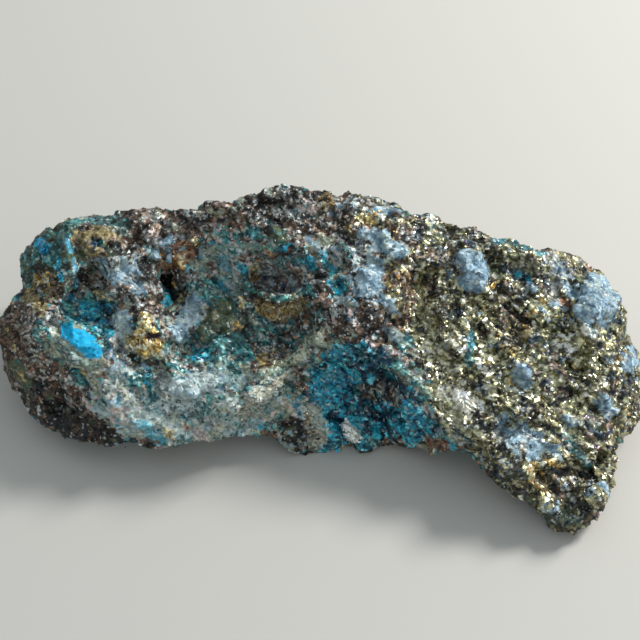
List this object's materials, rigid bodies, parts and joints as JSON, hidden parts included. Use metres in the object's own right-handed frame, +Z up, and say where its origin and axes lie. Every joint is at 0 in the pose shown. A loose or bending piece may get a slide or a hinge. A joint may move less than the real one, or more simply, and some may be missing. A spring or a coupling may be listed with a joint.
{
  "type": "peacock ore specimen",
  "caption": "Rough broken lump of tarnished copper ore with a sloping granular face, a raised wedge at one end and a flat base to rest on.",
  "frame": {"origin": "middle of the bounding box in plan, on the flat base that the lump rests on", "axes": "+X along the length, from the hollowed mixed-mineral end to the raised chalcopyrite wedge; -Y the way the broad face leans down; +Z up from the base"},
  "size_m": [0.0762, 0.0426, 0.022],
  "materials": {
    "ore": "broken granular ore: brassy metallic grains, dark tarnish, blue-green copper minerals, pale quartz and brown matrix"
  },
  "bodies": {
    "root": {"peacock_ore": "ore"}
  },
  "joints": []
}
